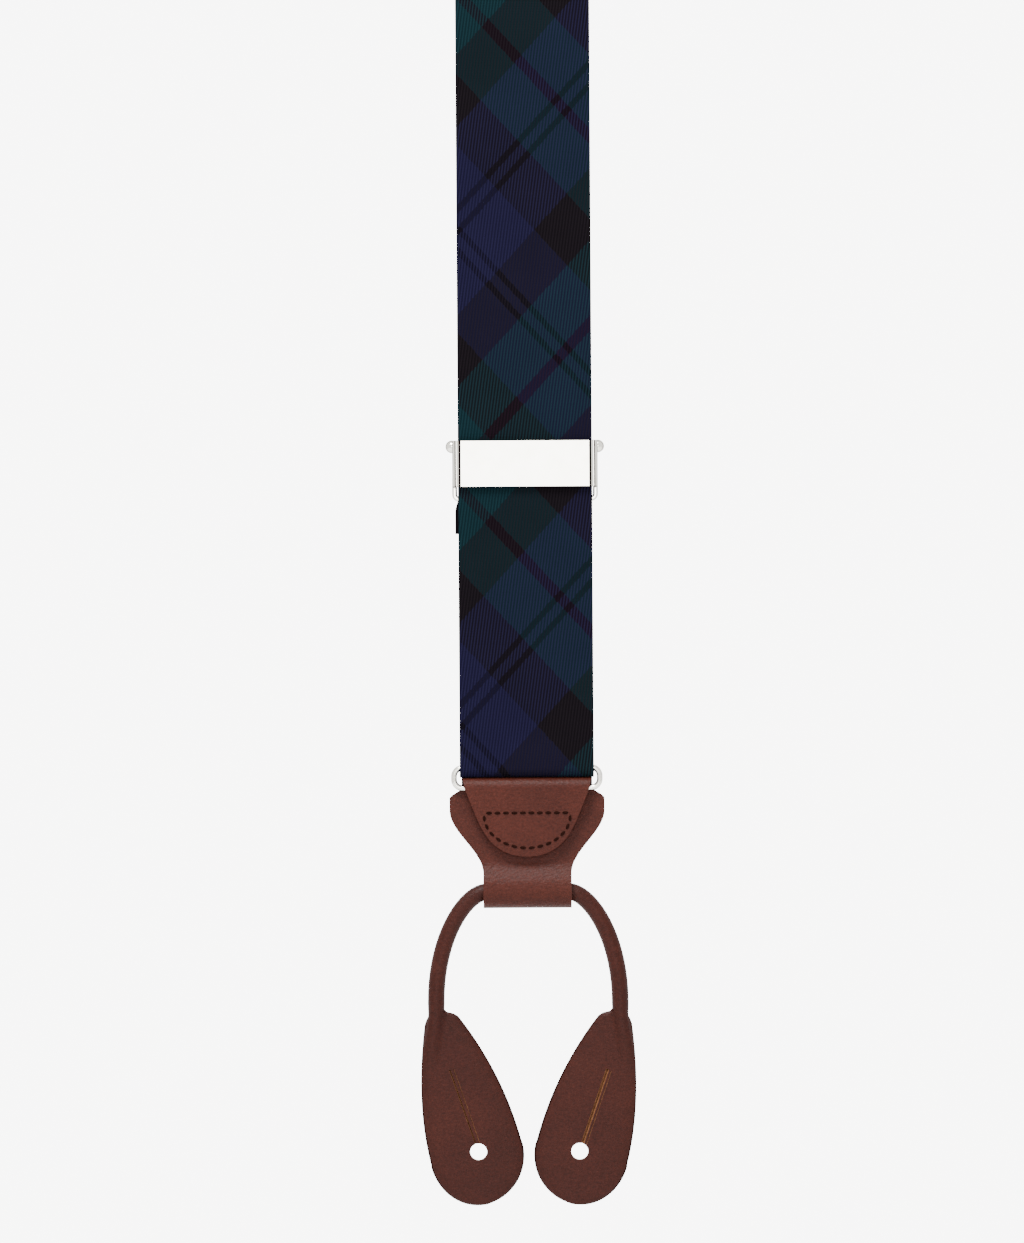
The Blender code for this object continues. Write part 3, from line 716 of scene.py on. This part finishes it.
HANGER_PATH = hanger_path()
HANGER_WALKED = lengths(HANGER_PATH)
for label in ENDS:

    def place(row, across, label=label):
        y, z = HANGER_PATH[row]
        x = across * hanger_half_width(row, z)
        return in_world(label, (x, y, z)), (x, HANGER_WALKED[row])

    rows = len(HANGER_PATH) - 1
    kinds = ["leather", "edge"]
    hide = strip(f"{label}_hanger_leather", rows, 32, place, kinds, LEATHER_THICK, 0.38 * MM)
    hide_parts(f"{label}_hanger")
    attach(hide, f"{label}_hanger")
    front = -FOLD - LEATHER_THICK / 2 - 0.05 * MM
    facing = Matrix.Rotation(ENDS[label][1], 3, "Z") @ Vector((0.0, -1.0, 0.0))
    top = [in_world(label, (x * 12.0 * MM, front, SEAM_TOP)) for x in (-1.0, 1.0)]
    curve = [in_world(label, (-SEAM_HALF, front, SEAM_TOP - 0.3 * MM))]
    for step in range(33):
        angle = math.radians(180 + 180 * step / 32)
        z = SEAM_TOP - 0.7 * MM + 9.2 * MM * math.sin(angle)
        curve.append(in_world(label, (SEAM_HALF * math.cos(angle), front, z)))
    curve.append(in_world(label, (SEAM_HALF, front, SEAM_TOP - 0.3 * MM)))
    for part, seam, pitch in (("top", top, 2.5 * MM), ("curve", curve, 2.55 * MM)):
        row_of = stitches(f"{label}_hanger_stitches_{part}", seam, pitch, 1.75 * MM, 0.42 * MM, facing)
        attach(row_of, f"{label}_hanger")
print("hanger strip, flat length:", round(HANGER_WALKED[-1] / MM, 1), "mm")

# %% [markdown]
# ## Runners: rolled middle, flat tabs
# A runner is one strip of leather, rolled and sewn into a cord in the middle and left flat at its ends.
# Each half is a loft: a row of closed sections, round along the roll, then wide and flat with the roll
# fading as a ridge. The keyhole is cut last, and its cutters leave raw tan walls.


# %% Half runners
TAB_LENGTH = 56.5 * MM
TAB_HALF = 12.6 * MM
SECTION = 72
TAB_NECK = 2.9 * MM
INWARD_FULLNESS = 1.11
WIDEST_AT = 0.745 * TAB_LENGTH
PLATE_DEPTH = 0.95 * MM
RIDGE_LENGTH = 23 * MM
RIDGE_DRIFT = 0.42
CORD_STRAIGHT = 12.0 * MM
BEND_REACH = 7 * MM
HOLE = 2.4 * MM
HOLE_AT = (-1.4 * MM, -41.5 * MM)
SLIT = 24.5 * MM
SLIT_LEAN = math.radians(4.5)
SLIT_TWIST = math.radians(38)
SLIT_WIDTH = 0.16 * MM
CUT_DEPTH = 12 * MM


def runner_line(side):
    """Centre line points, each with how far down the tab it is (-1 on the roll) and its way across."""
    points = []
    reach = HINGE.x - CORD_STRAIGHT
    fall = TUNNEL.z - HINGE.z - 3.0 * MM
    for step in range(7):
        start = Vector((side * CORD_STRAIGHT * step / 7, TUNNEL.y, TUNNEL.z))
        points.append((start, -1.0, Vector((0, 0, 1))))
    for step in range(19):
        angle = math.radians(90 * step / 18)
        x = CORD_STRAIGHT + reach * math.sin(angle) ** 1.2
        z = TUNNEL.z - fall * (1 - math.cos(angle))
        tangent = Vector((reach * math.cos(angle), 0.0, -fall * math.sin(angle))).normalized()
        across = Vector((-tangent.z * side, 0.0, tangent.x))
        points.append((Vector((side * x, TUNNEL.y, z)), -1.0, across))
    down = Vector((-side * math.sin(TAB_LEAN), 0.0, -math.cos(TAB_LEAN)))
    flat_across = Vector((side * math.cos(TAB_LEAN), 0.0, -math.sin(TAB_LEAN)))
    start = Vector((side * HINGE.x, HINGE.y, HINGE.z))
    top = points[-1][0]
    for step in range(1, 8):
        part = step / 8
        across = Vector((side, 0, 0)).lerp(flat_across, ease(part)).normalized()
        points.append((top.lerp(start, part), -1.0, across))
    for step in range(64):
        along = TAB_LENGTH * math.sin(math.pi / 2 * step / 63) ** 1.15
        points.append((start + down * along, along, flat_across))
    return points


def tab_half_width(along, inward):
    """Half the tab's width, a little more on the side that faces the other tab."""
    shoulder = 1.3 * MM * (1 - ease(along / (40 * MM))) * ease(along / (1.5 * MM)) if inward else 0.0
    full = TAB_HALF * (INWARD_FULLNESS if inward else 1.0)
    if along <= WIDEST_AT:
        grow = math.sin(math.pi / 2 * max(along, 0.0) / WIDEST_AT) ** 0.9
        return TAB_NECK + (full - TAB_NECK) * grow + shoulder
    part = (along - WIDEST_AT) / (TAB_LENGTH - WIDEST_AT)
    return full * math.sqrt(max(1 - part * part, 0.0)) + 0.15 * MM


def section(along, number):
    """(across, depth) of one point of the section: front half first, then the back."""
    angle = 2 * math.pi * number / SECTION
    front = -1.0 if math.sin(angle) >= 0 else 1.0
    reach = math.cos(angle)
    if along < 0.0:
        return ROLL * reach, front * ROLL * abs(math.sin(angle))
    width = ROLL + (tab_half_width(along, reach < 0.0) - ROLL) * ease(along / (2.5 * MM))
    u = width * reach
    plate = PLATE_DEPTH * (1 - abs(reach) ** 7) ** 0.5 * ease(0.25 + along / (3 * MM))
    fade = 1 - ease(along / RIDGE_LENGTH)
    off = u - RIDGE_DRIFT * along
    swell = ROLL * (1 + 0.35 * (1 - fade))
    round_part = math.sqrt(max(1 - (off / swell) ** 2, 0.0)) * ROLL * fade ** (0.7 if front < 0 else 1.2)
    depth = (plate**3 + round_part**3) ** (1 / 3)
    crown = 0.5 * MM * (1 - reach * reach) * ease(along / (20 * MM))
    return u, front * depth - crown


def keyhole(label, side):
    """The cutters of one keyhole: a round hole, a fine slit above it, and the slit's opened front."""
    place, turn = ENDS[label]
    whole = Matrix.Translation(place) @ Matrix.Rotation(turn, 4, "Z")
    whole @= Matrix.Translation((side * HINGE.x, HINGE.y, HINGE.z))
    whole @= Matrix.Rotation(side * TAB_LEAN, 4, "Y")
    whole @= Matrix.Translation((side * HOLE_AT[0], 0.0, HOLE_AT[1]))
    whole @= Matrix.Rotation(side * SLIT_LEAN, 4, "Y")
    round_hole = bmesh.new()
    lie = Matrix.Rotation(math.radians(90), 4, "X")
    bmesh.ops.create_cone(
        round_hole, cap_ends=True, segments=40, radius1=HOLE, radius2=HOLE, depth=CUT_DEPTH, matrix=lie
    )
    slit = bmesh.new()
    middle = Matrix.Translation((0.0, 0.0, SLIT / 2))
    slanted = middle @ Matrix.Rotation(SLIT_TWIST, 4, "Z")
    blade = Matrix.Diagonal((SLIT_WIDTH, CUT_DEPTH, SLIT, 1.0))
    bmesh.ops.create_cube(slit, size=1.0, matrix=slanted @ blade)
    opened = bmesh.new()
    gape = 0.52 * MM if side > 0 else 0.24 * MM
    front = Matrix.Translation((0.0, -1.55 * MM, SLIT / 2))
    wedge = front @ Matrix.Diagonal((gape, 0.95 * MM, SLIT + 0.3 * MM, 1.0))
    bmesh.ops.create_cone(
        opened, cap_ends=True, segments=4, radius1=1.0, radius2=1.0, depth=1.0, matrix=wedge
    )
    cutters = []
    for word, net in (("hole", round_hole), ("slit", slit), ("opened", opened)):
        net.transform(whole)
        mesh = bpy.data.meshes.new(f"{label}_{word}")
        net.to_mesh(mesh)
        net.free()
        mesh.materials.append(MATERIALS["raw"])
        thing = bpy.data.objects.new(mesh.name, mesh)
        bpy.context.scene.collection.objects.link(thing)
        cutters.append(thing)
    return cutters


def half_runner(label, side, name):
    """One half of a runner, from the middle of the roll to the end of its tab."""
    net = bmesh.new()
    rings = []
    flat_rings = []
    for centre, along, across in runner_line(side):
        ring = []
        for number in range(SECTION):
            u, depth = section(along, number)
            ring.append(net.verts.new(in_world(label, centre + across * u + Vector((0.0, depth, 0.0)))))
        rings.append(ring)
        if along > 1.0 * MM:
            flat_rings.append(ring)
    for first, second in zip(rings, rings[1:]):
        for number in range(SECTION):
            following = (number + 1) % SECTION
            face = net.faces.new((first[number], first[following], second[following], second[number]))
            on_rim = abs(math.cos(2 * math.pi * (number + 0.5) / SECTION)) > 0.975
            face.material_index = 1 if on_rim and first in flat_rings else 0
    net.faces.new(rings[0])
    net.faces.new(rings[-1])
    bmesh.ops.recalc_face_normals(net, faces=net.faces)
    thing = from_bmesh(name, net, ["runner", "edge"], 50.0)
    cutters = keyhole(label, side)
    for number, other in enumerate(cutters):
        cut = thing.modifiers.new(f"keyhole {number}", "BOOLEAN")
        cut.operation = "DIFFERENCE"
        cut.object = other
        cut.solver = "EXACT"
        cut.material_mode = "TRANSFER"
    bpy.context.view_layer.update()
    mesh = bpy.data.meshes.new_from_object(thing.evaluated_get(bpy.context.evaluated_depsgraph_get()))
    thing.modifiers.clear()
    thing.data = mesh
    for other in cutters:
        bpy.data.objects.remove(other, do_unlink=True)
    return thing


for label in ENDS:
    for word, side in (("left", -1), ("right", 1)):
        half = half_runner(label, side, f"{label}_runner_{word}_half")
        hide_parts(f"{label}_tab_{word}", f"{label}_runner_roll")
        above = in_world(label, (side * HINGE.x, HINGE.y, HINGE.z + BEND_REACH))
        below = in_world(label, (side * HINGE.x, HINGE.y, HINGE.z - BEND_REACH))
        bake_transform(half)
print("half runners:", 2 * len(ENDS))

# %% [markdown]
# ## Slides
# The slide's face is a polished plate, flat in the middle, with a groove and a round bead at each end
# where it turns back. Bands across the groove and the bead, and the plate's bevels and rims, are drawn
# dark as painted shade. Its hinge pin has domed ends. Its clamp lever and bail are the CAD solids, in
# polished silver.

# %% Slides
PLATE_HALF_HEIGHT = size_of("left_slide_plate").z / 2
CHEEK = size_of("left_slide_plate").x / 2
FACE = -RUN - RIBBON_THICK / 2 - 1.2 * MM
# Bands across each end of the plate, in mm from the middle, drawn dark as painted shade.
PAINTED_SHADE_LINES = ((18.2, 18.8), (19.45, 19.95))
FACE_HALF = 18.25 * MM
GROOVE = ((18.35, 0.35), (18.65, 0.35), (18.75, 0.0))
BEAD = ((19.0, -0.2), (19.5, -0.3), (19.9, -0.2), (20.3, 0.1))
PIN_RADIUS = 0.8 * MM
PIN_LENGTH = 41.6 * MM
DOME_RADIUS = 1.8 * MM
DOME_AT = 20.7 * MM


def plate_profile():
    """(x, y) points of the plate's outside: half the face, a groove, a bead and one cheek."""
    points = [(FACE_HALF * step / 8, FACE) for step in range(9)]
    for x, y in GROOVE + BEAD:
        points.append((x * MM, FACE + y * MM))
    points += [(CHEEK - 0.05 * MM, FACE + 0.6 * MM)]
    points += [(CHEEK, FACE + (1.2 + 0.9 * step) * MM) for step in range(6)]
    return points


PROFILE = plate_profile()
for label in SIDES:
    for part in ("slide_bail", "slide_lever"):
        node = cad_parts[f"{label}_{part}"]
        node.data.materials.clear()
        node.data.materials.append(MATERIALS["silver"])
    outline = [(-x, y) for x, y in reversed(PROFILE[1:])] + PROFILE

    def place(row, across, label=label, outline=outline):
        x, y = outline[row]
        up = across * PLATE_HALF_HEIGHT
        return in_world(label, (x, y, SLIDE_MIDDLE + up)), (x, up)

    # The second material, dark painted shade, goes on the plate's bevels and rims and on the bands across
    # its ends.
    kinds = ["silver", "painted_shade"]
    plate = strip(f"{label}_slide_face", len(outline) - 1, 6, place, kinds, 0.9 * MM, 0.12 * MM)
    plate.modifiers["thickness"].offset = -1.0
    middle_x = in_world(label, (0.0, 0.0, 0.0)).x
    for face in plate.data.polygons:
        reach = abs(face.center.x - middle_x)
        if any(low * MM < reach < high * MM for low, high in PAINTED_SHADE_LINES):
            face.material_index = 1
    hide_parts(f"{label}_slide_plate")
    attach(plate, f"{label}_slide")
    pin_net = bmesh.new()
    centre = middle_of(f"{label}_slide_pin")
    turned = Matrix.Translation(centre) @ Matrix.Rotation(math.radians(90), 4, "Y")
    bmesh.ops.create_cone(
        pin_net,
        cap_ends=True,
        segments=32,
        radius1=PIN_RADIUS,
        radius2=PIN_RADIUS,
        depth=PIN_LENGTH,
        matrix=turned,
    )
    for way in (-1, 1):
        dome = Matrix.Translation(centre + Vector((way * DOME_AT, 0.0, 0.0)))
        bmesh.ops.create_uvsphere(pin_net, u_segments=32, v_segments=20, radius=DOME_RADIUS, matrix=dome)
    pin = from_bmesh(f"{label}_slide_hinge_pin", pin_net, ["silver"])
    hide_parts(f"{label}_slide_pin")
    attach(pin, f"{label}_slide")
print("slide plates:", len(SIDES))

# %% [markdown]
# ## Back shield
# The shield's two layers are the CAD solids in leather, with a line of stitches along the edge. The
# seam is the layer's own outline, inset, so it follows the real shape.

# %% Back shield
for part, kind in (("shield_outer", "leather"), ("shield_lining", "lining")):
    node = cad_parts[part]
    node.data.materials.clear()
    node.data.materials.append(MATERIALS[kind])

SEAM_INSET = 2.2 * MM
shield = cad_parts["shield_outer"]
net = bmesh.new()
net.from_mesh(shield.data)
net.transform(shield.matrix_world)
back_face = max(point.co.y for point in net.verts)
others = []
for face in net.faces:
    if face.normal.y <= 0.9 or face.calc_center_median().y <= back_face - 0.2 * MM:
        others.append(face)
bmesh.ops.delete(net, geom=others, context="FACES")
bmesh.ops.remove_doubles(net, verts=net.verts, dist=0.01 * MM)
edge = next(edge for edge in net.edges if edge.is_boundary)
first = point = edge.verts[0]
outline = []
while True:
    outline.append(point.co.copy())
    point = edge.other_vert(point)
    edge = next(other for other in point.link_edges if other.is_boundary and other != edge)
    if point == first:
        break
net.free()
middle = sum(outline, Vector()) / len(outline)
seam = []
for number, here in enumerate(outline):
    way = outline[(number + 1) % len(outline)] - outline[number - 1]
    inward = Vector((0.0, 1.0, 0.0)).cross(way).normalized()
    if inward.dot(middle - here) < 0.0:
        inward = -inward
    seam.append(here + inward * SEAM_INSET)
seam.append(seam[0].copy())
shield_seam = stitches("shield_stitches", seam, 3.0 * MM, 2.1 * MM, 0.36 * MM, (0, 1, 0))
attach(shield_seam, "shoulders")
print("shield seam:", len(seam), "corners")

# %% [markdown]
# ## Room, light and camera
# A pale floor well below, a pale room that is brightest behind the front ends, a large soft light above,
# a pale card over the lens, and a long lens square to one strap.

# %% Room, light and camera
FLOOR_HEIGHT = -0.80
ROOM_BRIGHTNESS = 2.0
BACKDROP_BRIGHTNESS = 8.3
LENS_DISTANCE = 1.4688
LENS_ROLL = math.radians(0.36)
floor_net = bmesh.new()
below = Matrix.Translation((0, 0, FLOOR_HEIGHT))
bmesh.ops.create_grid(floor_net, x_segments=1, y_segments=1, size=1.1, matrix=below)
floor_mesh = bpy.data.meshes.new("floor")
floor_net.to_mesh(floor_mesh)
floor_net.free()
floor = bpy.data.objects.new("floor", floor_mesh)
bpy.context.scene.collection.objects.link(floor)
paint = bpy.data.materials.new("pale floor")
paint.use_nodes = True
shader = paint.node_tree.nodes["Principled BSDF"]
shader.inputs["Base Color"].default_value = (0.90, 0.90, 0.90, 1.0)
shader.inputs["Roughness"].default_value = 0.9
floor_mesh.materials.append(paint)

world = bpy.data.worlds.new("pale room")
bpy.context.scene.world = world
world.use_nodes = True
sky = world.node_tree.nodes
links = world.node_tree.links
apart = sky.new("ShaderNodeSeparateXYZ")
links.new(sky.new("ShaderNodeTexCoord").outputs["Generated"], apart.inputs[0])


def spread(source, low, high, first, last):
    """A smooth change of brightness with one direction of the room."""
    made = sky.new("ShaderNodeMapRange")
    made.interpolation_type = "SMOOTHSTEP"
    links.new(source, made.inputs["Value"])
    for key, value in (("From Min", low), ("From Max", high), ("To Min", first), ("To Max", last)):
        made.inputs[key].default_value = value
    return made.outputs[0]


backdrop = spread(apart.outputs[1], 0.93, 0.985, ROOM_BRIGHTNESS, BACKDROP_BRIGHTNESS)
links.new(backdrop, sky["Background"].inputs["Strength"])
sky["Background"].inputs["Color"].default_value = (0.97, 0.965, 0.96, 1.0)


def soft_light(name, where, target, size, power):
    """A large square light facing a point."""
    lamp = bpy.data.lights.new(name, "AREA")
    lamp.size = size
    lamp.energy = power
    thing = bpy.data.objects.new(name, lamp)
    bpy.context.scene.collection.objects.link(thing)
    thing.location = where
    thing.rotation_euler = (Vector(target) - Vector(where)).to_track_quat("-Z", "Y").to_euler()


aim = in_world("right", (-3.94 * MM, 0.0, 166.0 * MM - RING_ABOVE_TABS))
soft_light("soft light above", (aim.x - 0.25, -0.75, aim.z + 1.25), aim, 0.55, 50.0)
soft_light("pale card over the lens", (aim.x, -1.62, aim.z + 0.22), aim + Vector((0, 0, 0.05)), 0.50, 7.0)

camera = bpy.data.cameras.new("camera")
camera.lens = 150.0
camera.sensor_width = 36.0
viewer = bpy.data.objects.new("camera", camera)
bpy.context.scene.collection.objects.link(viewer)
viewer.location = (aim.x, aim.y - LENS_DISTANCE, aim.z)
viewer.rotation_euler = (math.radians(90), LENS_ROLL, 0.0)
bpy.context.scene.camera = viewer
